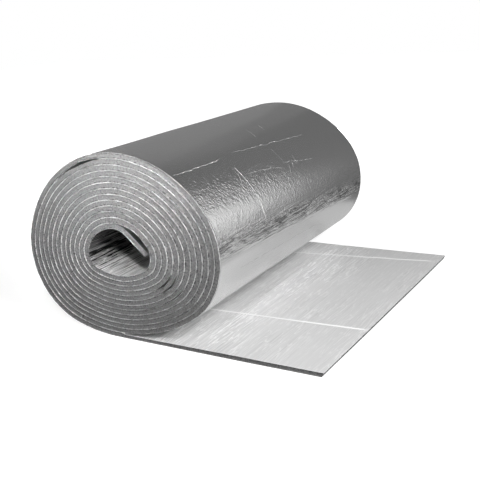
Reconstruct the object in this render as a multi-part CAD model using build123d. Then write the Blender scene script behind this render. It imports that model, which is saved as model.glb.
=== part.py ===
from build123d import *
import math
import os

# Sheet stock, wound up with its free end left lying on the floor
SHEET_WIDTH = 600
SHEET_THICKNESS = 10
TAIL_LENGTH = 408
END_CUT_ANGLE = 1.8

# Winding, as arcs that meet tangent at four corners of each turn, in the order top, left, bottom, right
LAYERS = 13
TOP_RADIUS = 67
SIDE_RADIUS = 26
TOP_GROWTH_SHARE = 1.155
SIDE_GROWTH_SHARE = 0.835
CREEP = 0.9
SETTLING = 1.2
UPPER_CORNER_ANGLE = 29
LOWER_CORNER_ANGLE = 63.5
LEAN_ANGLE = 3.2
LEAN_PER_TURN = 0.48
PRESSED_ANGLE = 4

# Loose inner end, sprung away from the turn above it
FLAP_ROOT_ANGLE = 96
FLAP_BEND_ANGLE = 48
FLAP_BEND_RADIUS = 40
FLAP_TIP_GAP = 4.5

# Seam between the turns, open at both ends of the roll
SEAM_WIDTH = 1
SEAM_DEPTH = 4

CORNERS = [UPPER_CORNER_ANGLE, 180 - UPPER_CORNER_ANGLE, 180 + LOWER_CORNER_ANGLE, 360 - LOWER_CORNER_ANGLE]
SIDES = len(CORNERS)


def direction(angle):
    return Vector(math.cos(math.radians(angle)), math.sin(math.radians(angle)))


def ray(length, angle):
    return direction(angle) * length


def corner_angle(step):
    turn, side = divmod(step, SIDES)
    return CORNERS[side] + LEAN_ANGLE + LEAN_PER_TURN * step / SIDES + 360 * turn


def arc_radius(step):
    """Radius that grows with the turns; the bottom arc is the one that closes its turn up."""
    grown = SHEET_THICKNESS * step / SIDES
    top = TOP_RADIUS + TOP_GROWTH_SHARE * grown
    left = SIDE_RADIUS + SIDE_GROWTH_SHARE * grown
    closing = math.cos(math.radians(UPPER_CORNER_ANGLE)) / math.cos(math.radians(LOWER_CORNER_ANGLE))
    bottom = left + (top - left) * closing + CREEP
    return [top, left, bottom, left - SETTLING][step % SIDES]


def wind(steps):
    """Centre, radius, start angle and end angle of each arc, from the bore outwards."""
    arcs = []
    corner = Vector(0, 0)
    for step in range(steps):
        radius = arc_radius(step)
        centre = corner - ray(radius, corner_angle(step))
        corner = centre + ray(radius, corner_angle(step + 1))
        arcs.append((centre, radius, corner_angle(step), corner_angle(step + 1)))
    return arcs


def trimmed(arcs, start=None, end=None):
    """The same arcs with the first one starting and the last one ending at the given angles."""
    kept = list(arcs)
    if start is not None:
        centre, radius, _, last = kept[0]
        kept[0] = (centre, radius, start, last)
    if end is not None:
        centre, radius, first, _ = kept[-1]
        kept[-1] = (centre, radius, first, end)
    return kept


def edges_of(arcs, offset=0):
    return [CenterArc(centre, radius + offset, start, end - start) for centre, radius, start, end in arcs]


def point_on(arc, angle, offset=0):
    return arc[0] + ray(arc[1] + offset, angle)


def run_to_wall(start, heading, wall):
    """How far a straight run goes before it comes within the tip gap of a wall."""
    away = start - wall[0]
    along = away.dot(heading)
    return math.sqrt(along**2 - away.dot(away) + (wall[1] - FLAP_TIP_GAP) ** 2) - along


# Seam of the whole winding, then the part of it that is the outside of the roll
seam = wind(SIDES * LAYERS + SIDES - 1)
bore_turn = seam[:SIDES]
second_top = seam[SIDES]
contact = seam[-SIDES - 1]
outside = seam[-SIDES:]
down_angle = 360 * LAYERS - 90
pressed_angle = down_angle + PRESSED_ANGLE

# Outline of the roll and its tail, which starts where the last turn is pressed on it
floor_point = point_on(outside[-1], down_angle + 360)
crevice = point_on(contact, pressed_angle)
end_skew = SHEET_WIDTH / 2 * math.tan(math.radians(END_CUT_ANGLE))
tail_end = floor_point.X + TAIL_LENGTH
tail_reach = tail_end + end_skew
lower_tip = Vector(tail_reach, floor_point.Y)
upper_tip = Vector(tail_reach, crevice.Y)
around = trimmed([contact] + outside, pressed_angle, down_angle + 360)
outline = edges_of(around) + [Line(floor_point, lower_tip), Line(lower_tip, upper_tip), Line(upper_tip, crevice)]

# Bore with the loose inner end and the gap it leaves under the second turn
root = point_on(bore_turn[0], FLAP_ROOT_ANGLE)
gap_end = point_on(second_top, FLAP_ROOT_ANGLE + 360)
flap_thickness = (gap_end - root).dot(direction(FLAP_ROOT_ANGLE)) - SEAM_WIDTH
tip_angle = FLAP_ROOT_ANGLE - FLAP_BEND_ANGLE
bend = (root - ray(FLAP_BEND_RADIUS, FLAP_ROOT_ANGLE), FLAP_BEND_RADIUS, tip_angle, FLAP_ROOT_ANGLE)
under_bend = point_on(bend, tip_angle)
over_bend = point_on(bend, tip_angle, flap_thickness)
run = direction(tip_angle - 90) * run_to_wall(over_bend, direction(tip_angle - 90), bore_turn[-1])
over_root = point_on(bend, FLAP_ROOT_ANGLE, flap_thickness)
bore_wall = trimmed(bore_turn + [second_top], FLAP_ROOT_ANGLE, FLAP_ROOT_ANGLE + 360)
flap = edges_of([bend]) + edges_of([bend], flap_thickness)
flap += [Line(under_bend, under_bend + run), Line(under_bend + run, over_bend + run), Line(over_bend + run, over_bend)]
bore = edges_of(bore_wall) + flap + [Line(gap_end, over_root)]

section = Plane.XZ * Face(Wire(outline), [Wire(bore)])
roll = extrude(section, SHEET_WIDTH / 2, both=True)

# Free end cut a little out of square
offcut = Box(TAIL_LENGTH, 2 * SHEET_WIDTH, 2 * SHEET_WIDTH, align=(Align.MIN, Align.CENTER, Align.CENTER))
roll -= Pos(tail_end, 0, floor_point.Y) * Rot(0, 0, -END_CUT_ANGLE) * offcut

# Seam opened from the gap under the second turn to the crevice over the tail
opened = trimmed(seam[SIDES:-SIDES], FLAP_ROOT_ANGLE + 360 - PRESSED_ANGLE, pressed_angle + PRESSED_ANGLE)
half = SEAM_WIDTH / 2
caps = [
    Line(point_on(arc, angle, -half), point_on(arc, angle, half))
    for arc, angle in [(opened[0], opened[0][2]), (opened[-1], opened[-1][3])]
]
slot = Plane.XZ * Face(Wire(edges_of(opened, half) + edges_of(opened, -half) + caps))
for end in (-1, 1):
    roll -= Pos(0, end * SHEET_WIDTH / 2, 0) * extrude(slot, SEAM_DEPTH, both=True)

# Origin on the floor under the middle of the box round the roll and its tail
left = outside[2][0].X - outside[2][1]
roll = Pos(-(left + tail_reach) / 2, 0, -floor_point.Y) * roll

os.makedirs("parts", exist_ok=True)
export_step(roll, "parts/insulation_roll.step")
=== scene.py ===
import cmath
import math
from bisect import bisect

import bmesh
import bpy
from mathutils import Matrix, Vector, noise


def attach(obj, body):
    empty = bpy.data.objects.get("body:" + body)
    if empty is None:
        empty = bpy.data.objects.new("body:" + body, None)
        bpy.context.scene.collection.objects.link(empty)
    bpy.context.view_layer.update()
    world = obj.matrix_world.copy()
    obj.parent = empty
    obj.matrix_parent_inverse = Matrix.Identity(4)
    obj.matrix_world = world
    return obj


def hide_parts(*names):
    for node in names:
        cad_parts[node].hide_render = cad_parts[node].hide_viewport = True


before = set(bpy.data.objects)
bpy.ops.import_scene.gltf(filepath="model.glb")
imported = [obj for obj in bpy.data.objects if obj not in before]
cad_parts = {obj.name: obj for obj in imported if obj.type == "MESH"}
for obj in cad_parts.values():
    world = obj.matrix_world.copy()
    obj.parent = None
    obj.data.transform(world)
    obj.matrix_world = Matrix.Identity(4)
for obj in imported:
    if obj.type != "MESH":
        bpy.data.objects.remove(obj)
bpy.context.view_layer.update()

MM = 0.001
TURN = 2 * math.pi

# Sheet and winding, as in the part's source, with x to the right and z up as one complex number
SHEET_WIDTH = 600 * MM
HALF_WIDTH = SHEET_WIDTH / 2
SHEET_THICKNESS = 10 * MM
TAIL_LENGTH = 408 * MM
END_CUT = math.radians(1.8)
LAYERS = 13
TOP_RADIUS = 67 * MM
SIDE_RADIUS = 26 * MM
TOP_GROWTH_SHARE = 1.155
SIDE_GROWTH_SHARE = 0.835
CREEP = 0.9 * MM
SETTLING = 1.2 * MM
UPPER_CORNER = math.radians(29)
LOWER_CORNER = math.radians(63.5)
LEAN = math.radians(3.2)
LEAN_PER_TURN = math.radians(0.48)
PRESSED = math.radians(4)
FLAP_ROOT = math.radians(96)
FLAP_BEND = math.radians(48)
FLAP_BEND_RADIUS = 40 * MM
FLAP_TIP_GAP = 4.5 * MM
SEAM_WIDTH = 1 * MM

CORNERS = [UPPER_CORNER, math.pi - UPPER_CORNER, math.pi + LOWER_CORNER, TURN - LOWER_CORNER]
SIDES = len(CORNERS)


def corner_angle(step):
    turn, side = divmod(step, SIDES)
    return CORNERS[side] + LEAN + LEAN_PER_TURN * step / SIDES + TURN * turn


def arc_radius(step):
    """Radius that grows with the turns; the bottom arc is the one that closes its turn up."""
    grown = SHEET_THICKNESS * step / SIDES
    top = TOP_RADIUS + TOP_GROWTH_SHARE * grown
    left = SIDE_RADIUS + SIDE_GROWTH_SHARE * grown
    bottom = left + (top - left) * math.cos(UPPER_CORNER) / math.cos(LOWER_CORNER) + CREEP
    return [top, left, bottom, left - SETTLING][step % SIDES]


def wind(steps):
    """Corner angles, then centre and radius of each arc from the bore outwards, standing on the floor."""
    angles = [corner_angle(step) for step in range(steps + 1)]
    corner = 0j
    arcs = []
    for step in range(steps):
        radius = arc_radius(step)
        centre = corner - cmath.rect(radius, angles[step])
        corner = centre + cmath.rect(radius, angles[step + 1])
        arcs.append((centre, radius))
    floor = arcs[-1][0] - 1j * arcs[-1][1]
    left = arcs[-2][0].real - arcs[-2][1]
    reach = floor.real + TAIL_LENGTH + HALF_WIDTH * math.tan(END_CUT)
    shift = -(left + reach) / 2 - 1j * floor.imag
    return angles, [(centre + shift, radius) for centre, radius in arcs], floor + shift


STEPS = SIDES * LAYERS + SIDES - 1
ANGLES, ARCS, FLOOR_POINT = wind(STEPS)
LAST_TURN = TURN * (LAYERS - 1)
DOWN = TURN * LAYERS - math.pi / 2
BORE_END = FLAP_ROOT + TURN


def seam(angle):
    """Point of the seam where it faces that way, counted in whole turns from the bore."""
    step = min(max(bisect(ANGLES, angle) - 1, 0), STEPS - 1)
    return ARCS[step][0] + cmath.rect(ARCS[step][1], angle)


def pitch(angle):
    """How far the next turn's seam is from this one's."""
    return ((seam(angle + TURN) - seam(angle)) * cmath.rect(1, -angle)).real


def fade(value, none, full):
    """0 up to one value and 1 from another on, smooth between them."""
    share = min(max((value - none) / (full - none), 0), 1)
    return share * share * (3 - 2 * share)


def hump(value, centre, half):
    """1 at the centre, smoothly to 0 at half on either side."""
    return 1 - fade(abs(value - centre), 0, half)


def uneven(first, second, layer):
    """Smooth unevenness about zero at a place in one of its many layers."""
    return noise.noise(Vector((first, second, layer)))


# Thin creases in the outer foil, which its colour also paints as bright highlights: start and end as degrees
# round the roll and metres along it, then height
CREASES = [
    ((56.8, -0.3), (56.6, -0.155), 1.0),
    ((57.5, -0.11), (52, 0.165), 1.0),
    ((44.5, -0.13), (40, -0.008), 0.8),
    ((42, 0.0), (37, 0.115), 0.8),
    ((36, -0.3), (33, -0.2), 1.0),
    ((69, 0.018), (62, 0.009), 1.8),
    ((69, 0.067), (64, 0.059), 1.8),
    ((40, 0.015), (32, 0.0), 0.9),
    ((30.5, 0.02), (27, 0.03), 1.0),
    ((43.5, 0.05), (38.5, 0.046), 1.0),
    ((52, 0.006), (42, 0.007), 0.4),
    ((46, -0.148), (39, -0.163), 0.6),
    ((40, 0.033), (36.5, 0.021), 0.9),
    ((34, -0.009), (28, -0.012), 0.7),
    ((28, 0.014), (21.5, 0.02), 0.7),
    ((88.5, -0.005), (81, -0.007), 0.6),
    ((9, -0.3), (2, -0.05), 0.6),
    ((1, 0.02), (-6, 0.29), 0.35),
    ((-15, -0.24), (-20, 0.08), 0.4),
    ((126, -0.25), (124, 0.02), 0.7),
    ((150, -0.05), (147, 0.21), 0.8),
    ((171, -0.28), (174, -0.03), 0.9),
    ((194, 0.0), (190, 0.28), 0.8),
    ((212, -0.2), (209, 0.1), 0.7),
    ((165, 0.12), (205, 0.116), 0.6),
]

# Scored lines round the roll, given the same way
SCORES = [
    ((51, -0.142), (7, -0.14), 1.0),
    ((240, -0.144), (196, -0.142), 1.0),
    ((208, 0.228), (160, 0.23), 0.8),
]

# Crinkled bands: strength, degrees round, drift per metre, half span, and where none and all of it shows
ALL_ALONG = (-1.0, -0.5)
LOWER_BAND = (1.0, 1.5, -25, 11, ALL_ALONG)
MIDDLE_BAND = (0.2, 18, 0, 20, ALL_ALONG)
NEAR_BAND = (0.1, 18, 0, 20, (-0.15, -0.28))
UPPER_BAND = (0.55, 28, -40, 12, (0.2, -0.15))
TOP_BAND = (0.35, 42, -30, 14, (0.15, -0.1))
LEFT_BAND = (0.7, 188, 18, 30, ALL_ALONG)
BACK_BAND = (0.35, 145, 0, 30, (-0.15, 0.2))
LEFT_WEAR = 0.6
LEFT_WEAR_BARE = 0.4

# Crinkled patches away from the shown side, by degrees round the roll and counts per metre along it
PATCH_WEAR = 0.2
PATCH_SPAN = 34
PATCHES_PER_METRE = 6
PATCH_EDGE = (-0.1, 0.6)
PATCH_LAYER = 4
SHOWN_SIDE = 75
PATCHES_BEGIN = (65, 105)


def band_wear(band, degrees, y):
    strength, middle, drift, half, along = band
    return strength * hump(degrees, middle + drift * y, half) * fade(y, *along)


def worn(degrees, y):
    """How crinkled the outer foil is, from 0 to 1, in bands along the side and in a few patches."""
    lower = band_wear(LOWER_BAND, degrees, y)
    middle = band_wear(MIDDLE_BAND, degrees, y) + band_wear(NEAR_BAND, degrees, y)
    upper = band_wear(UPPER_BAND, degrees, y) + band_wear(TOP_BAND, degrees, y)
    left = band_wear(LEFT_BAND, degrees, y) + band_wear(BACK_BAND, degrees, y)
    patch = fade(uneven(degrees / PATCH_SPAN, y * PATCHES_PER_METRE, PATCH_LAYER), *PATCH_EDGE)
    patch *= fade(abs(degrees - SHOWN_SIDE), *PATCHES_BEGIN)
    left *= LEFT_WEAR * (LEFT_WEAR_BARE + patch)
    return min(max(lower, middle, upper) + left + PATCH_WEAR * patch, 1)


# Shallow waves and crinkles of the outer face, by degrees round the roll and counts per metre along it
WAVE_HEIGHT = 0.5 * MM
WAVE_SPAN = 11
WAVES_PER_METRE = 7
WAVE_LAYER = 0
CRINKLE_HEIGHT = 0.4 * MM
CRINKLE_SPAN = 2.6
CRINKLES_PER_METRE = 55
CRINKLE_LAYER = 5
RELIEF_BEGINS = (-95, -70)
RELIEF_ENDS = (262, 237)


def outside_relief(angle, y):
    """How far the roll's outer face stands out from the seam there."""
    degrees = math.degrees(angle - TURN * LAYERS)
    waves = WAVE_HEIGHT * uneven(degrees / WAVE_SPAN, y * WAVES_PER_METRE, WAVE_LAYER)
    crinkles = CRINKLE_HEIGHT * worn(degrees, y)
    crinkles *= uneven(degrees / CRINKLE_SPAN, y * CRINKLES_PER_METRE, CRINKLE_LAYER)
    return (waves + crinkles) * fade(degrees, *RELIEF_BEGINS) * fade(degrees, *RELIEF_ENDS)


# Seams between the turns, with their changes counted per radian round the roll, and unlike at the two ends
SEAM_WANDER = 0.45 * MM
WANDERS_PER_RADIAN = 3.1
WANDER_ROW = 2
LEAST_GAP = 0.6 * MM
SPRUNG_GAP = 1.1 * MM
GAPS_PER_RADIAN = 6.5
GAP_ROW = 7
GAP_LAYER = 3
GAP_EDGE = (0.05, 0.5)
OPENING_REACH = 60 * MM

# Places on the ends where the turns stand apart: degrees round the roll, half its span, the turn and the gap
OPEN_SEAMS = [
    (110, 16, 12, 4.6 * MM),
    (316, 32, 4, 3.0 * MM),
    (322, 30, 5, 2.8 * MM),
    (310, 24, 7, 2.0 * MM),
    (345, 20, 3, 1.0 * MM),
    (40, 25, 10, 0.9 * MM),
    (205, 25, 9, 0.9 * MM),
    (150, 20, 4, 0.7 * MM),
]


def seam_shift(angle, y):
    """How far the seam between two turns wanders from its arc, in its own way at each end."""
    return SEAM_WANDER * uneven(angle * WANDERS_PER_RADIAN, math.copysign(WANDER_ROW, y), 0)


def seam_gap(angle, y):
    """How far two turns stand apart."""
    sprung = uneven(angle * GAPS_PER_RADIAN, GAP_ROW, math.copysign(GAP_LAYER, y))
    gap = LEAST_GAP + SPRUNG_GAP * fade(sprung, *GAP_EDGE)
    at_end = fade(abs(y), HALF_WIDTH - OPENING_REACH, HALF_WIDTH)
    for degrees, half, turn, wide in OPEN_SEAMS:
        place = math.degrees(angle) - 360 * turn - degrees
        gap += wide * hump(place, 0, half) * at_end
    return gap


# Wrinkles in the bore, counted per metre of the sheet round it and along it
BORE_WRINKLE = 0.55 * MM
BORE_WRINKLES_ROUND = 105
BORE_WRINKLES_ALONG = 3.5
BORE_LAYER = 1


def bore_relief(run, y):
    """Fine wrinkles along the bore, where the sheet is bent tightest."""
    return BORE_WRINKLE * uneven(run * BORE_WRINKLES_ROUND, y * BORE_WRINKLES_ALONG, BORE_LAYER)


def face_offset(angle, y, run, outer):
    """How far a face stands from its own seam's arc."""
    if angle >= DOWN:
        return outside_relief(angle, y)
    if angle < BORE_END:
        return bore_relief(run, y)
    gap = seam_gap(angle, y) / 2
    return seam_shift(angle, y) - gap if outer else seam_shift(angle, y) + gap


# Cut ends of the turns: how far they slip past each other, how ragged they are and where the foils end
SLIP = 1.0 * MM
SLIPS_PER_RADIAN = 0.55
SLIP_ROW = 5
RAGGED = 0.35 * MM
RAGGED_PER_METRE = 90
RAGGED_THROUGH = 4
FOIL_SETBACK = 0.9 * MM
FOAM_FLATNESS = 6


def end_shift(angle, run, depth, y):
    """How far an end of the sheet stands out, with the foam a little proud between the foils."""
    side = math.copysign(1, y)
    slip = SLIP * uneven(angle * SLIPS_PER_RADIAN, side * SLIP_ROW, 0)
    ragged = RAGGED * uneven(run * RAGGED_PER_METRE, side, depth * RAGGED_THROUGH)
    return slip + ragged - FOIL_SETBACK * (2 * depth - 1) ** FOAM_FLATNESS


# Tail, from where the roll leaves the floor
CONTACT = seam(DOWN)
CREVICE = seam(DOWN + PRESSED)
TAIL_REACH = FLOOR_POINT.real + TAIL_LENGTH - CONTACT.real
PRESSED_RUN = 40 * MM
THIN_TAIL = 6 * MM
THICK_TAIL = 8 * MM
THINNING = (3 * MM, 15 * MM)
TAIL_WAVE = 0.7 * MM
TAIL_WAVES_ALONG = 9
TAIL_WAVES_ACROSS = 5
TAIL_LAYER = 2
TAIL_WAVES_BEGIN = (20 * MM, 120 * MM)
END_LEAN = 3.8 * MM
END_LEAN_RUN = 25 * MM
CORNER_LIFT = 0.8 * MM
LIFT_ALONG = (250 * MM, TAIL_LENGTH)
LIFT_ACROSS = (150 * MM, HALF_WIDTH)


def tail_height(tail, y):
    """Height of the tail's upper face, which goes flat beside the roll and has shallow waves further out."""
    pressed = CONTACT.imag + (CREVICE.imag - CONTACT.imag) * fade(tail, 0, PRESSED_RUN)
    loose = THIN_TAIL + (THICK_TAIL - THIN_TAIL) * tail / TAIL_REACH
    waves = TAIL_WAVE * abs(uneven(tail * TAIL_WAVES_ALONG, y * TAIL_WAVES_ACROSS, TAIL_LAYER))
    return pressed + (loose - pressed) * fade(tail, *THINNING) + waves * fade(tail, *TAIL_WAVES_BEGIN)


def end_lean(depth, inside):
    """How far the tail's free end leans in under its upper face."""
    return END_LEAN * depth * fade(inside, END_LEAN_RUN, 0)


def tail_lift(tail, y):
    """The tail's underside clears the floor by a little at the free end's corners."""
    return CORNER_LIFT * fade(tail, *LIFT_ALONG) * fade(abs(y), *LIFT_ACROSS)


# Loose inner end, with the turn that it comes near at its tip
BORE_LAST = SIDES - 1
FLAP_THICKNESS = pitch(FLAP_ROOT) - SEAM_WIDTH
TIP_ANGLE = FLAP_ROOT - FLAP_BEND
BEND_CENTRE = seam(FLAP_ROOT) - cmath.rect(FLAP_BEND_RADIUS, FLAP_ROOT)
HEADING = cmath.rect(1, TIP_ANGLE - math.pi / 2)


def flap_run():
    """How far the loose end runs straight before it comes near the bore's wall."""
    wall_centre, wall_radius = ARCS[BORE_LAST]
    away = BEND_CENTRE + cmath.rect(FLAP_BEND_RADIUS + FLAP_THICKNESS, TIP_ANGLE) - wall_centre
    along = (away * HEADING.conjugate()).real
    return math.sqrt(along**2 - abs(away) ** 2 + (wall_radius - FLAP_TIP_GAP) ** 2) - along


FLAP_RUN = flap_run()
FLAP_TIP = BEND_CENTRE + cmath.rect(FLAP_BEND_RADIUS, TIP_ANGLE) + HEADING * FLAP_RUN
FLAP_LENGTH = FLAP_RUN + FLAP_BEND_RADIUS * FLAP_BEND

# Wound sheet: where its cut edges are divided, and how closely its faces lie
LEVEL_SHARES = [0, 0.045, 0.13, 0.5, 0.87, 0.955, 1]
EDGE_BAND = 1.5 * MM
END_INSETS = [0, EDGE_BAND, 15 * MM, OPENING_REACH]
BORE_CELLS = 30
OUTER_CELLS = 88
FLAP_SPACING = 5 * MM
BEND_SPACING = 4 * MM
MIDDLE_SPACING = 8 * MM
OUTER_FIRST = SIDES * LAYERS - SIDES - 2
OUTER_SPACINGS = [9 * MM, 4 * MM, 4 * MM, 6.5 * MM, 8 * MM]
TAIL_SPACING = 6.5 * MM
LAST_ROW = 1 * MM
ANGLE_SLACK = 1e-4
EDGE_SLACK = 0.5 * MM
RUN_SLACK = 0.01 * MM
OFF_TAIL = -1
OUTER_FOIL, INNER_FOIL, CUT_EDGE = range(3)


def of_kind(parts, kind):
    return [part for part in parts if isinstance(part, kind)]


class Strip:
    """A length of the sheet as it is being wound: its mesh, its last row across and its length so far."""

    def __init__(self, ys, point, run):
        self.bm = bmesh.new()
        self.angle = self.bm.verts.layers.float.new("angle")
        self.run = self.bm.verts.layers.float.new("run")
        self.depth = self.bm.verts.layers.float.new("depth")
        self.tail = self.bm.verts.layers.float.new("tail")
        self.worn = self.bm.verts.layers.float.new("worn")
        self.length = run
        vert = bmesh.ops.create_vert(self.bm, co=(point.real, ys[0], point.imag))["vert"][0]
        self.row = []
        for low, high in zip(ys, ys[1:]):
            made = bmesh.ops.extrude_vert_indiv(self.bm, verts=[vert])
            vert = made["verts"][0]
            bmesh.ops.translate(self.bm, verts=[vert], vec=(0, high - low, 0))
            self.row += made["edges"]

    def mark(self, vert, angle, run, tail=OFF_TAIL):
        vert[self.angle] = angle
        vert[self.run] = run
        vert[self.tail] = tail

    def start(self, angle):
        for vert in self.bm.verts:
            self.mark(vert, angle, self.length)

    def arc(self, centre, radius, start, end, spacing):
        """Winds on round an arc's centre."""
        steps = max(2, math.ceil(radius * (end - start) / spacing))
        before = len(self.bm.verts)
        made = bmesh.ops.spin(
            self.bm,
            geom=self.row,
            cent=(centre.real, 0, centre.imag),
            axis=(0, -1, 0),
            angle=end - start,
            steps=steps,
            use_duplicate=False,
        )
        self.row = of_kind(made["geom_last"], bmesh.types.BMEdge)
        self.bm.verts.ensure_lookup_table()
        for vert in self.bm.verts[before:]:
            away = complex(vert.co.x - centre.real, vert.co.z - centre.imag)
            turned = cmath.phase(away * cmath.rect(1, -start))
            if turned < -ANGLE_SLACK:
                turned += TURN
            self.mark(vert, start + turned, self.length + radius * turned)
        self.length += radius * (end - start)

    def straight(self, move, angle, spacing, tail=None):
        """Runs on in a straight line, on the tail from the given distance along it."""
        steps = max(1, math.ceil(abs(move) / spacing))
        for step in range(steps):
            made = bmesh.ops.extrude_edge_only(self.bm, edges=self.row)["geom"]
            verts = of_kind(made, bmesh.types.BMVert)
            fresh = set(verts)
            self.row = [edge for edge in of_kind(made, bmesh.types.BMEdge) if fresh.issuperset(edge.verts)]
            bmesh.ops.translate(self.bm, verts=verts, vec=(move.real / steps, 0, move.imag / steps))
            moved = abs(move) * (step + 1) / steps
            for vert in verts:
                self.mark(vert, angle, self.length + moved, OFF_TAIL if tail is None else tail + moved)
        self.length += abs(move)


def give_thickness(strip):
    """Makes the wound face a slab, cuts its rim into bands and moves all of it to where it belongs."""
    bm = strip.bm
    made = bmesh.ops.extrude_face_region(bm, geom=list(bm.faces), use_keep_orig=True)["geom"]
    for vert in of_kind(made, bmesh.types.BMVert):
        vert[strip.depth] = 1
    rim = [edge for edge in bm.edges if edge.verts[0][strip.depth] != edge.verts[1][strip.depth]]
    bmesh.ops.subdivide_edges(bm, edges=rim, cuts=len(LEVEL_SHARES) - 2, use_grid_fill=True)
    for vert in bm.verts:
        place(vert, strip)
    bmesh.ops.recalc_face_normals(bm, faces=bm.faces)


def place(vert, strip):
    """Moves a point of the slab to its depth in the sheet, where the turns leave room for it."""
    angle, run, tail = vert[strip.angle], vert[strip.run], vert[strip.tail]
    band = round(vert[strip.depth] * (len(LEVEL_SHARES) - 1))
    depth = LEVEL_SHARES[band]
    vert[strip.depth] = depth
    y = vert.co.y
    out = cmath.rect(1, angle)
    point = complex(vert.co.x, vert.co.z)
    if tail >= 0:
        height = tail_height(tail, y)
        skew = fade(tail, 0, TAIL_LENGTH) * y * math.tan(END_CUT)
        point = complex(point.real + skew - end_lean(depth, TAIL_REACH - tail), height)
        low, high = 0, height - tail_lift(tail, y)
    elif run < FLAP_LENGTH:
        low = bore_relief(run, y)
        high = FLAP_THICKNESS + low
    else:
        low = face_offset(angle, y, run, False)
        high = pitch(angle) + face_offset(angle + TURN, y, run, True)
    point += out * (low + (high - low) * depth)
    if depth == 1 and angle + TURN > DOWN:
        vert[strip.worn] = worn(math.degrees(angle - LAST_TURN), y)
    if abs(vert.co.y) > HALF_WIDTH - EDGE_SLACK:
        y += math.copysign(end_shift(angle, run, depth, y), y)
    vert.co = (point.real, y, point.imag)


def even_rows(cells):
    """Places across the width, evenly spaced, with one more just inside each end."""
    ys = [-HALF_WIDTH + SHEET_WIDTH * cell / cells for cell in range(cells + 1)]
    return sorted(ys + [EDGE_BAND - HALF_WIDTH, HALF_WIDTH - EDGE_BAND])


def end_rows():
    """Places across the width that lie close only near the ends."""
    near = [inset - HALF_WIDTH for inset in END_INSETS]
    return near + [-y for y in reversed(near)]


def wind_bore(length):
    """The loose inner end and the first turn, which show inside the bore."""
    strip = Strip(even_rows(BORE_CELLS), FLAP_TIP, length)
    strip.start(TIP_ANGLE)
    strip.straight(-HEADING * FLAP_RUN, TIP_ANGLE, FLAP_SPACING)
    strip.arc(BEND_CENTRE, FLAP_BEND_RADIUS, TIP_ANGLE, FLAP_ROOT, BEND_SPACING)
    strip.arc(*ARCS[0], FLAP_ROOT, ANGLES[1], FLAP_SPACING)
    for step in range(1, BORE_LAST + 1):
        strip.arc(*ARCS[step], ANGLES[step], ANGLES[step + 1], BEND_SPACING)
    return strip


def wind_middle(length):
    """The turns that show only on the ends."""
    strip = Strip(end_rows(), seam(ANGLES[BORE_LAST + 1]), length)
    strip.start(ANGLES[BORE_LAST + 1])
    for step in range(BORE_LAST + 1, OUTER_FIRST):
        strip.arc(*ARCS[step], ANGLES[step], ANGLES[step + 1], MIDDLE_SPACING)
    return strip


def wind_outside(length):
    """The last turn and the tail."""
    strip = Strip(even_rows(OUTER_CELLS), seam(ANGLES[OUTER_FIRST]), length)
    strip.start(ANGLES[OUTER_FIRST])
    for step, spacing in enumerate(OUTER_SPACINGS, OUTER_FIRST):
        strip.arc(*ARCS[step], ANGLES[step], min(ANGLES[step + 1], DOWN), spacing)
    strip.straight(complex(TAIL_REACH - LAST_ROW, 0), DOWN, TAIL_SPACING, tail=0)
    strip.straight(complex(LAST_ROW, 0), DOWN, LAST_ROW, tail=TAIL_REACH - LAST_ROW)
    return strip


def face_finishes(strip):
    """Outer foil, inner foil or cut foam on each face, smooth but for the sheet's two cut ends."""
    for face in strip.bm.faces:
        depths = [vert[strip.depth] for vert in face.verts]
        if min(depths) == 1:
            face.material_index = OUTER_FOIL
        elif max(depths) == 0:
            face.material_index = INNER_FOIL
        else:
            face.material_index = CUT_EDGE
        runs = [vert[strip.run] for vert in face.verts]
        face.smooth = max(runs) - min(runs) > RUN_SLACK


def wound_sheet(foil_outside, foil_inside, foam):
    """The whole sheet as one mesh, faced with foil on both sides and with bare foam on its cut edges."""
    mesh = bpy.data.meshes.new("wound_sheet")
    length = 0
    whole = bmesh.new()
    for wind_part in (wind_bore, wind_middle, wind_outside):
        strip = wind_part(length)
        length = strip.length
        give_thickness(strip)
        face_finishes(strip)
        part = bpy.data.meshes.new("wound_part")
        strip.bm.to_mesh(part)
        strip.bm.free()
        whole.from_mesh(part)
        bpy.data.meshes.remove(part)
    whole.to_mesh(mesh)
    whole.free()
    for material in (foil_outside, foil_inside, foam):
        mesh.materials.append(material)
    sheet = bpy.data.objects.new("wound_sheet", mesh)
    bpy.context.collection.objects.link(sheet)
    return sheet


# Materials


def grey(level):
    return (level, level, level, 1)


def new_material(name):
    material = bpy.data.materials.new(name)
    material.use_nodes = True
    return material, material.node_tree, material.node_tree.nodes["Principled BSDF"]


def add(tree, kind, **settings):
    node = tree.nodes.new(kind)
    for name, value in settings.items():
        setattr(node, name, value)
    return node


def maths(tree, operation, first, second=None):
    node = add(tree, "ShaderNodeMath", operation=operation)
    for socket, value in zip(node.inputs, (first, second)):
        if isinstance(value, bpy.types.NodeSocket):
            tree.links.new(value, socket)
        elif value is not None:
            socket.default_value = value
    return node.outputs[0]


def plus(tree, first, second):
    return maths(tree, "ADD", first, second)


def less(tree, first, second):
    return maths(tree, "SUBTRACT", first, second)


def times(tree, first, second):
    return maths(tree, "MULTIPLY", first, second)


def most(tree, first, second):
    return maths(tree, "MAXIMUM", first, second)


def size_of(tree, value):
    return maths(tree, "ABSOLUTE", value)


def vector_maths(tree, operation, first, second):
    node = add(tree, "ShaderNodeVectorMath", operation=operation)
    tree.links.new(first, node.inputs[0])
    node.inputs[1].default_value = second
    return node


def attribute(tree, name):
    return add(tree, "ShaderNodeAttribute", attribute_name=name).outputs["Fac"]


def object_place(tree):
    return add(tree, "ShaderNodeTexCoord").outputs["Object"]


def across_sheet(tree):
    """The place across the sheet's width."""
    parts = add(tree, "ShaderNodeSeparateXYZ")
    tree.links.new(object_place(tree), parts.inputs[0])
    return parts.outputs["Y"]


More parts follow.
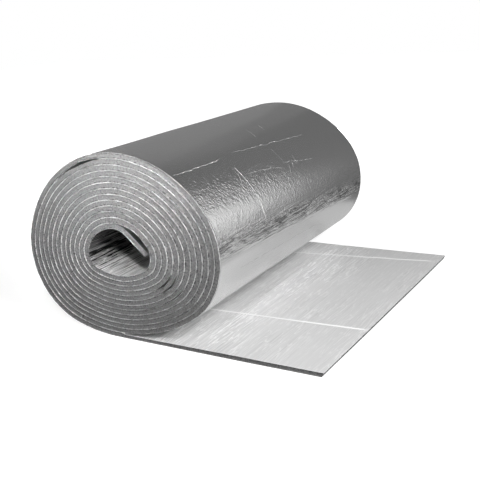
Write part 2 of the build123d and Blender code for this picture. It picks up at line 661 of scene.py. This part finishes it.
def joined(tree, first, second):
    node = add(tree, "ShaderNodeCombineXYZ")
    tree.links.new(first, node.inputs[0])
    tree.links.new(second, node.inputs[1])
    return node.outputs[0]


def sheet_place(tree, along, across):
    """The place on the flat sheet, stretched along and across it."""
    return joined(tree, times(tree, attribute(tree, "run"), along), times(tree, across_sheet(tree), across))


def last_turn(tree):
    """The angle round the roll, counted in its last turn."""
    return less(tree, attribute(tree, "angle"), LAST_TURN)


GRAIN_MIDDLE = 0.5


def grain(tree, vector, detail, scale=1):
    node = add(tree, "ShaderNodeTexNoise")
    tree.links.new(vector, node.inputs["Vector"])
    node.inputs["Scale"].default_value = scale
    node.inputs["Detail"].default_value = detail
    return node.outputs["Fac"]


def folds(tree, vector, scale=1):
    """Sharp little valleys between rounded bulges, as in crumpled film."""
    return size_of(tree, less(tree, grain(tree, vector, detail=2, scale=scale), GRAIN_MIDDLE))


def span(tree, value, given, wanted):
    """Takes a value smoothly from the given range to the wanted one, and no further than its ends."""
    node = add(tree, "ShaderNodeMapRange", interpolation_type="SMOOTHSTEP")
    tree.links.new(value, node.inputs["Value"])
    for name, number in zip(("From Min", "From Max", "To Min", "To Max"), (*given, *wanted)):
        node.inputs[name].default_value = number
    return node.outputs["Result"]


def bumps(tree, shader, height, distance):
    node = add(tree, "ShaderNodeBump")
    node.inputs["Distance"].default_value = distance
    tree.links.new(height, node.inputs["Height"])
    tree.links.new(node.outputs["Normal"], shader.inputs["Normal"])


LINE_FULL_SHARE = 0.8
LINE_CORE_SHARE = 0.2


def thin_lines(tree, place, lines, width):
    """Height of thin lines on a face, each given by its two ends and its height."""
    total = None
    for start, end, height in lines:
        start, end = Vector((*start, 0)), Vector((*end, 0))
        along = (end - start).normalized()
        half = (end - start).length / 2
        offset = vector_maths(tree, "SUBTRACT", place, (start + end) / 2).outputs["Vector"]
        lengthwise = vector_maths(tree, "DOT_PRODUCT", offset, along).outputs["Value"]
        sideways = vector_maths(tree, "DOT_PRODUCT", offset, (-along.y, along.x, 0)).outputs["Value"]
        inside = span(tree, size_of(tree, lengthwise), (LINE_FULL_SHARE * half, half), (1, 0))
        beside = span(tree, size_of(tree, sideways), (LINE_CORE_SHARE * width, width), (height, 0))
        line = times(tree, inside, beside)
        total = line if total is None else most(tree, total, line)
    return total


# Outer foil, with the length of a degree round the roll's outside
DEGREE = 3.1 * MM
CREASE_WANDER = 9 * MM
CREASE_WIDTH = 0.6 * MM
CREASE_HEIGHT = 0.5
CREASE_BREAKS = (0.4, 0.62)
BROKEN_SHARES = (0.15, 1)
SCORE_WIDTH = 0.75 * MM
CRUMPLES_PER_METRE = 85
FINE_CRUMPLES_PER_METRE = 170
FINE_CRUMPLE_SHARE = 0.9
DRAWN_SHARE = 0.1
SAGGING = (math.radians(5), math.radians(16))
PLEAT_HEIGHT = 4
VALLEY_EDGE = (0, 0.07)
FOIL_GREY = 0.82
# Painted highlight: the creases' grey, which the scored lines share
CREASE_HIGHLIGHT_AND_SCORE_GREY = 1
# Painted shade: how much the pleat valleys darken
FOLD_SHADE_GREY = 0.6
FOIL_METAL = 1
CREASE_METAL = 0.45
FOIL_ROUGHNESS = 0.24
WORN_ROUGHNESS = 0.2
FOIL_RELIEF = 3 * MM


def outside_place(tree):
    """The place round and along the roll's outside in metres, wandering a little as a crease does."""
    wander = less(tree, grain(tree, sheet_place(tree, along=36, across=46), detail=5), GRAIN_MIDDLE)
    around = times(tree, last_turn(tree), math.degrees(DEGREE))
    around = plus(tree, around, times(tree, wander, CREASE_WANDER))
    return joined(tree, around, across_sheet(tree))


def in_metres(lines):
    """Lines round the roll, with their degrees made metres."""
    return [
        ((start * DEGREE, start_y), (end * DEGREE, end_y), height)
        for (start, start_y), (end, end_y), height in lines
    ]


def bright_foil():
    """Polished metal film, finely crinkled where the roll was handled and creased here and there, with
    painted highlights along the creases and painted shade in the pleat valleys low on its right side.
    """
    material, tree, shader = new_material("bright_foil")
    wear = attribute(tree, "worn")
    flat = sheet_place(tree, along=1, across=1)
    crumple = times(tree, folds(tree, flat, FINE_CRUMPLES_PER_METRE), FINE_CRUMPLE_SHARE)
    crumple = plus(tree, folds(tree, flat, CRUMPLES_PER_METRE), crumple)
    drawn = times(tree, grain(tree, sheet_place(tree, along=14, across=330), detail=2), DRAWN_SHARE)
    sagging = span(tree, last_turn(tree), SAGGING, (1, 0))
    pleats = folds(tree, sheet_place(tree, along=160, across=11))
    pleated = times(tree, times(tree, pleats, sagging), PLEAT_HEIGHT)
    crinkle = times(tree, wear, plus(tree, pleated, plus(tree, crumple, drawn)))
    # Painted shade in the pleat valleys, low on the roll's right side where the crinkled foil sags
    valleys = span(tree, pleats, VALLEY_EDGE, (FOLD_SHADE_GREY, 0))
    valleys = times(tree, valleys, times(tree, sagging, wear))
    place = outside_place(tree)
    broken = grain(tree, sheet_place(tree, along=90, across=70), detail=4)
    broken = span(tree, broken, CREASE_BREAKS, BROKEN_SHARES)
    creases = times(tree, thin_lines(tree, place, in_metres(CREASES), CREASE_WIDTH), broken)
    scores = thin_lines(tree, place, in_metres(SCORES), SCORE_WIDTH)
    # Painted highlight: the creases are coloured brighter and less metallic than the flat foil; the scored
    # lines take the same grey
    crease_highlights_and_scores = most(tree, creases, scores)
    tone = less(tree, span(tree, crease_highlights_and_scores, (0, 1), (FOIL_GREY, CREASE_HIGHLIGHT_AND_SCORE_GREY)), valleys)
    tree.links.new(tone, shader.inputs["Base Color"])
    tree.links.new(span(tree, crease_highlights_and_scores, (0, 1), (FOIL_METAL, CREASE_METAL)), shader.inputs["Metallic"])
    tree.links.new(span(tree, wear, (0, 1), (FOIL_ROUGHNESS, WORN_ROUGHNESS)), shader.inputs["Roughness"])
    bumps(tree, shader, plus(tree, crinkle, times(tree, creases, CREASE_HEIGHT)), FOIL_RELIEF)
    return material


# Inner foil, with the bright scored lines across the tail in metres
TAIL_LINES = [((-0.06, -0.1451), (0.31, -0.1246), 1.0), ((-0.06, 0.2134), (0.31, 0.2588), 1.0)]
TAIL_LINE_WIDTH = 5 * MM
TAIL_LINE_BEGINS = (0, 10 * MM)
TAIL_BEGINS = (OFF_TAIL / 2, 0)
TAIL_STREAKS_END = (50 * MM, 340 * MM)
FAR_STREAKS = 0.35
BORE_STREAKS = 1.5
SATIN_PATCH_EDGE = (0.38, 0.62)
SATIN_PATCH_SHARES = (0.4, 1)
TIGHT_BEND = (math.radians(225), math.radians(260))
TIGHT_SHARES = (1, 0.4)
# Painted shade on the bore's flap, upper and left wall, fading out towards its bottom between these angles
SHADED_BORE_SIDE = (math.radians(210), math.radians(258))
TAIL_GREY = 0.78
BORE_GREY = 0.86
FINE_STREAK_SHARE = 0.6
STREAK_RANGE = (0.35, 1)
STREAK_GREYS = (-0.36, 0.05)
# Thin creases in the bore, cut into its bump and painted dark as shade
BORE_CREASE_EDGE = (0, 0.05)
BORE_CREASE_SHADE_GREY = 0.3
BORE_CREASE_DEPTH = 0.6
# Painted shade on the bore's flap, upper and left wall: how dark
BORE_SIDE_SHADE_GREY = 0.36
THREAD_EDGE = (0, 0.035)
THREAD_GREY = 0.36
TAIL_METAL = 0.32
BORE_METAL = 0.6
SATIN_ROUGHNESS = 0.38
SATIN_RELIEF = 0.8 * MM


def tail_lines(tree, tail):
    """1 on the scored lines, which are on the tail only."""
    flat = vector_maths(tree, "MULTIPLY", object_place(tree), (1, 1, 0)).outputs["Vector"]
    lines = thin_lines(tree, flat, TAIL_LINES, TAIL_LINE_WIDTH)
    return times(tree, lines, span(tree, tail, TAIL_LINE_BEGINS, (0, 1)))


def satin_foil():
    """The duller film on the inner face, streaked across by the winding and most of all in the bore, with
    painted shade in the bore's thin creases and on its flap, upper and left wall.
    """
    material, tree, shader = new_material("satin_foil")
    tail = attribute(tree, "tail")
    angle = attribute(tree, "angle")
    patches = grain(tree, sheet_place(tree, along=9, across=5), detail=2)
    patches = span(tree, patches, SATIN_PATCH_EDGE, SATIN_PATCH_SHARES)
    on_tail = times(tree, span(tree, tail, TAIL_STREAKS_END, (1, FAR_STREAKS)), patches)
    in_bore = span(tree, tail, TAIL_BEGINS, (BORE_STREAKS, 0))
    wrinkled = most(tree, on_tail, in_bore)
    tight = span(tree, angle, TIGHT_BEND, TIGHT_SHARES)
    # Thin creases in the bore, strongest in its tight bend: they deepen the bump and are painted dark as
    # shade
    bore_creases_and_shade = span(tree, folds(tree, sheet_place(tree, along=270, across=6)), BORE_CREASE_EDGE, (1, 0))
    bore_creases_and_shade = times(tree, bore_creases_and_shade, times(tree, in_bore, tight))
    streaks = grain(tree, sheet_place(tree, along=300, across=6), detail=3)
    fine = grain(tree, sheet_place(tree, along=760, across=16), detail=2)
    streaks = plus(tree, streaks, times(tree, fine, FINE_STREAK_SHARE))
    streaks = less(tree, streaks, times(tree, bore_creases_and_shade, BORE_CREASE_DEPTH))
    shade = times(tree, span(tree, streaks, STREAK_RANGE, STREAK_GREYS), wrinkled)
    shade = plus(tree, shade, span(tree, in_bore, (0, BORE_STREAKS), (TAIL_GREY, BORE_GREY)))
    # Painted shade in the bore's thin creases
    shade = less(tree, shade, times(tree, bore_creases_and_shade, BORE_CREASE_SHADE_GREY))
    # Painted shade on the bore's flap and its upper and left wall, fading out towards its bottom
    shade = less(tree, shade, times(tree, span(tree, angle, SHADED_BORE_SIDE, (BORE_SIDE_SHADE_GREY, 0)), in_bore))
    threads = folds(tree, sheet_place(tree, along=130, across=13))
    threads = span(tree, threads, THREAD_EDGE, (THREAD_GREY, 0))
    shade = plus(tree, shade, times(tree, threads, on_tail))
    scored = tail_lines(tree, tail)
    tree.links.new(most(tree, shade, scored), shader.inputs["Base Color"])
    metal = span(tree, in_bore, (0, BORE_STREAKS), (TAIL_METAL, BORE_METAL))
    tree.links.new(times(tree, metal, less(tree, 1, scored)), shader.inputs["Metallic"])
    shader.inputs["Roughness"].default_value = SATIN_ROUGHNESS
    bumps(tree, shader, times(tree, streaks, wrinkled), SATIN_RELIEF)
    return material


# Cut foam, with the foils' reach over it as shares of the sheet's thickness
FOIL_RAGS_PER_METRE = 70
FINE_RAGS_PER_METRE = 420
RAGS_RANGE = (0.72, 1.25)
FOIL_REACH_SHARES = (-0.015, 0.085)
TAIL_SETBACK_SHARE = 0.09
RIM_SHARE = 0.1
RIM_ENDS = (0.5, 1.25)
FOIL_BLUR_SHARE = 0.015
FOIL_EDGE_GREY = 0.6
# Painted seam shadow beside the inner foil: its dashes, and where it begins and ends as shares of the
# thickness
DASH_EDGE = (0.5, 0.56)
SEAM_SHADOW_BEGIN_SHARES = (0.06, 0.1)
SEAM_SHADOW_END_SHARES = (0.2, 0.28)
PORES_PER_METRE = 330
CLOUDS_PER_METRE = 900
FOAM_GREYS = (0.03, 0.24)
FOAM_RANGE = (0.3, 0.7)
CLOUD_SHARE = 0.25
FOAM_ROUGHNESS = 0.6
FOAM_RELIEF = 1.2 * MM


def foil_edge(tree, inside, reach):
    """1 where a place on the cut edge is within the foil's reach of its face."""
    return span(tree, less(tree, inside, reach), (-FOIL_BLUR_SHARE, FOIL_BLUR_SHARE), (1, 0))


def foil_edges(tree, depth):
    """The broken bright edges of both foils, wider on the right side of the outermost turn."""
    place = object_place(tree)
    rags = grain(tree, place, detail=2, scale=FOIL_RAGS_PER_METRE)
    fine_rags = grain(tree, place, detail=2, scale=FINE_RAGS_PER_METRE)
    reach = span(tree, plus(tree, rags, fine_rags), RAGS_RANGE, FOIL_REACH_SHARES)
    reach = less(tree, reach, span(tree, attribute(tree, "tail"), TAIL_BEGINS, (0, TAIL_SETBACK_SHARE)))
    rim = span(tree, size_of(tree, last_turn(tree)), RIM_ENDS, (RIM_SHARE, 0))
    inner_foil = foil_edge(tree, depth, reach)
    outer_foil = foil_edge(tree, less(tree, 1, depth), plus(tree, reach, rim))
    return most(tree, inner_foil, outer_foil)


def seam_shadow_dashes(tree, depth):
    """Painted shadow of the seam: dark dashes on the foam beside the inner foil."""
    dashes = span(tree, grain(tree, sheet_place(tree, along=140, across=0), detail=3), DASH_EDGE, (0, 1))
    past_foil = span(tree, depth, SEAM_SHADOW_BEGIN_SHARES, (0, 1))
    beside_foil = span(tree, depth, SEAM_SHADOW_END_SHARES, (1, 0))
    return times(tree, dashes, times(tree, past_foil, beside_foil))


def cut_foam():
    """Grey foam on the cut edges, with the foils' broken bright edges along both sides of it and painted
    seam shadow in dark dashes beside the inner foil.
    """
    material, tree, shader = new_material("cut_foam")
    depth = attribute(tree, "depth")
    place = object_place(tree)
    pores = grain(tree, place, detail=5, scale=PORES_PER_METRE)
    clouds = grain(tree, place, detail=2, scale=CLOUDS_PER_METRE)
    cells = plus(tree, times(tree, pores, 1 - CLOUD_SHARE), times(tree, clouds, CLOUD_SHARE))
    shades = add(tree, "ShaderNodeValToRGB")
    for element, position, level in zip(shades.color_ramp.elements, FOAM_RANGE, FOAM_GREYS):
        element.position = position
        element.color = grey(level)
    # Painted seam shadow darkens the foam beside the inner foil
    tree.links.new(less(tree, cells, seam_shadow_dashes(tree, depth)), shades.inputs["Fac"])
    colour = add(tree, "ShaderNodeMix", data_type="RGBA")
    tree.links.new(foil_edges(tree, depth), colour.inputs["Factor"])
    tree.links.new(shades.outputs["Color"], colour.inputs["A"])
    colour.inputs["B"].default_value = grey(FOIL_EDGE_GREY)
    tree.links.new(colour.outputs["Result"], shader.inputs["Base Color"])
    shader.inputs["Roughness"].default_value = FOAM_ROUGHNESS
    bumps(tree, shader, pores, FOAM_RELIEF)
    return material


# Stage, in metres
FLOOR_REACH = 6
FLOOR_GREY = 0.4
FLOOR_SHADE = 0.76
FLOOR_SHADE_ENDS = (0.5, 1.5)
PANEL_ROUGHNESS = 0.9
SOFT_LIGHT = 0.08

# Grey panels on three sides, which only reflections show: left, right, bottom, top and grey
FLAG_DISTANCE = 1
FLAG_SIDES = 3
SIDE_FLAGS = {
    "back_flag": (-1.6, -0.42, 0, 1.3, 0.225),
    "half_flag": (-0.42, -0.18, 0, 1.3, 0.185),
    "dark_flag": (-0.18, 0.67, 0, 1.3, 0.15),
    "edge_flag": (0.67, 0.79, 0, 1.3, 0.3),
    "upper_flag": (-1.6, 0.79, 1.3, 3, 0.11),
    "low_flag": (0.79, 1.4, 0, 0.28, 0.35),
    "side_flag": (0.96, 1.4, 0.28, 0.5, 0.55),
}

# Grey panels on the floor, which only reflections show: left, right, front, back, height and grey
FLOOR_FLAGS = {
    "floor_mat": (-1.6, 1.6, -1.6, 1.6, 0.5 * MM, 0.5),
    "floor_flag": (0.33, 1.3, 0.22, 1, 1 * MM, 0.15),
    "near_floor_flag": (-1.6, 0.33, 0.31, 0.52, 1 * MM, 0.55),
    "far_floor_flag": (-1.6, 0.33, 0.52, 1, 1 * MM, 0.15),
}

# Lamps: place, target, size, watts and spread in degrees
WIDE = 180
LAMPS = {
    "key": ((0.5, -1.1, 1.05), (-0.03, -0.3, 0.41), 0.2, 1.7, 26),
    "side": ((1.38, -0.66, 1.06), (0.05, -0.1, 0.05), 0.6, 43, WIDE),
    "front": ((-0.1, -1.75, 0.8), (0, -0.2, 0.05), 0.6, 5, WIDE),
    "back": ((-0.6, 1.9, 0.2), (-0.1, 0.3, 0.15), 0.6, 14, WIDE),
    "left": ((-2, 0.2, 1), (-0.2, 0, 0.15), 0.8, 10, WIDE),
}

# Camera, as fitted to the photograph's view of the roll
CAMERA_PLACE = (0.72481, -1.26064, 0.55464)
CAMERA_AZIMUTH = math.radians(30.987)
CAMERA_ELEVATION = math.radians(17.191)
CAMERA_ROLL = math.radians(-3.624)
CAMERA_SENSOR = 36
CAMERA_LENS = 57.195


def shown_rays(tree):
    """1 on the rays that show the background: to the camera, in reflections and through glass."""
    path = add(tree, "ShaderNodeLightPath")
    shown = most(tree, path.outputs["Is Camera Ray"], path.outputs["Is Glossy Ray"])
    return most(tree, shown, path.outputs["Is Transmission Ray"])


def panel(name, corner, along, up, level):
    """A flat stage panel from a corner and the two corners next to it."""
    bm = bmesh.new()
    bmesh.ops.create_grid(bm, x_segments=1, y_segments=1, size=0.5)
    corner, along, up = Vector(corner), Vector(along), Vector(up)
    for vert in bm.verts:
        vert.co = corner + (along - corner) * (vert.co.x + 0.5) + (up - corner) * (vert.co.y + 0.5)
    mesh = bpy.data.meshes.new(name)
    bm.to_mesh(mesh)
    bm.free()
    made = bpy.data.objects.new(name, mesh)
    bpy.context.collection.objects.link(made)
    material, tree, shader = new_material(name)
    shader.inputs["Base Color"].default_value = grey(level)
    shader.inputs["Roughness"].default_value = PANEL_ROUGHNESS
    mesh.materials.append(material)
    return made, tree, shader


def white_floor():
    """Pale floor that keeps the shadow near the object and runs out to white."""
    reach = FLOOR_REACH
    _, tree, shader = panel("floor", (-reach, -reach, 0), (reach, -reach, 0), (-reach, reach, 0), FLOOR_GREY)
    distance = add(tree, "ShaderNodeVectorMath", operation="LENGTH")
    tree.links.new(object_place(tree), distance.inputs[0])
    white = span(tree, distance.outputs["Value"], FLOOR_SHADE_ENDS, (FLOOR_SHADE, 1))
    shader.inputs["Emission Color"].default_value = grey(1)
    tree.links.new(times(tree, white, shown_rays(tree)), shader.inputs["Emission Strength"])


def flag(name, corner, along, up, level):
    """A grey panel that only reflections show, as beside a shiny thing on a studio table."""
    made, _, shader = panel(name, corner, along, up, 0)
    shader.inputs["Emission Color"].default_value = grey(level)
    shader.inputs["Emission Strength"].default_value = 1
    made.visible_camera = False
    made.visible_diffuse = False
    made.visible_shadow = False


def flags():
    """The same panels on each side of the stage, then the ones on its floor."""
    for side in range(FLAG_SIDES):
        about = Matrix.Rotation(-TURN * side / FLAG_SIDES, 3, "Z")
        for name, (left, right, bottom, top, level) in SIDE_FLAGS.items():
            corners = [(left, bottom), (right, bottom), (left, top)]
            flag(f"{name}_{side}", *(about @ Vector((x, FLAG_DISTANCE, z)) for x, z in corners), level)
    for name, (left, right, front, back, height, level) in FLOOR_FLAGS.items():
        flag(name, (left, front, height), (right, front, height), (left, back, height), level)


def white_world():
    """White to the camera and in reflections, and plain soft light on everything."""
    world = bpy.data.worlds.new("studio")
    bpy.context.scene.world = world
    world.use_nodes = True
    tree = world.node_tree
    background = tree.nodes["Background"]
    background.inputs["Color"].default_value = grey(1)
    tree.links.new(span(tree, shown_rays(tree), (0, 1), (SOFT_LIGHT, 1)), background.inputs["Strength"])


def lamp(name, place, target, size, power, spread):
    data = bpy.data.lights.new(name, "AREA")
    data.shape = "SQUARE"
    data.size = size
    data.energy = power
    data.spread = math.radians(spread)
    made = bpy.data.objects.new(name, data)
    made.location = place
    made.rotation_mode = "QUATERNION"
    made.rotation_quaternion = (Vector(target) - Vector(place)).to_track_quat("-Z", "Y")
    bpy.context.collection.objects.link(made)
    made.visible_camera = False
    made.visible_glossy = False


def photo_camera():
    """The photograph's view."""
    level = math.cos(CAMERA_ELEVATION)
    ahead, aside = math.cos(CAMERA_AZIMUTH), math.sin(CAMERA_AZIMUTH)
    back = Vector((aside * level, -ahead * level, math.sin(CAMERA_ELEVATION)))
    right = Matrix.Rotation(CAMERA_ROLL, 3, back) @ Vector((ahead, aside, 0))
    data = bpy.data.cameras.new("photo_camera")
    data.sensor_width = CAMERA_SENSOR
    data.lens = CAMERA_LENS
    camera = bpy.data.objects.new("photo_camera", data)
    axes = Matrix((right, back.cross(right), back)).transposed().to_4x4()
    camera.matrix_world = Matrix.Translation(CAMERA_PLACE) @ axes
    bpy.context.collection.objects.link(camera)
    bpy.context.scene.camera = camera


roll = wound_sheet(bright_foil(), satin_foil(), cut_foam())
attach(roll, "root")
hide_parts("insulation_roll")

white_floor()
flags()
for name, settings in LAMPS.items():
    lamp(name, *settings)
white_world()
photo_camera()
bpy.context.scene.view_settings.view_transform = "Standard"
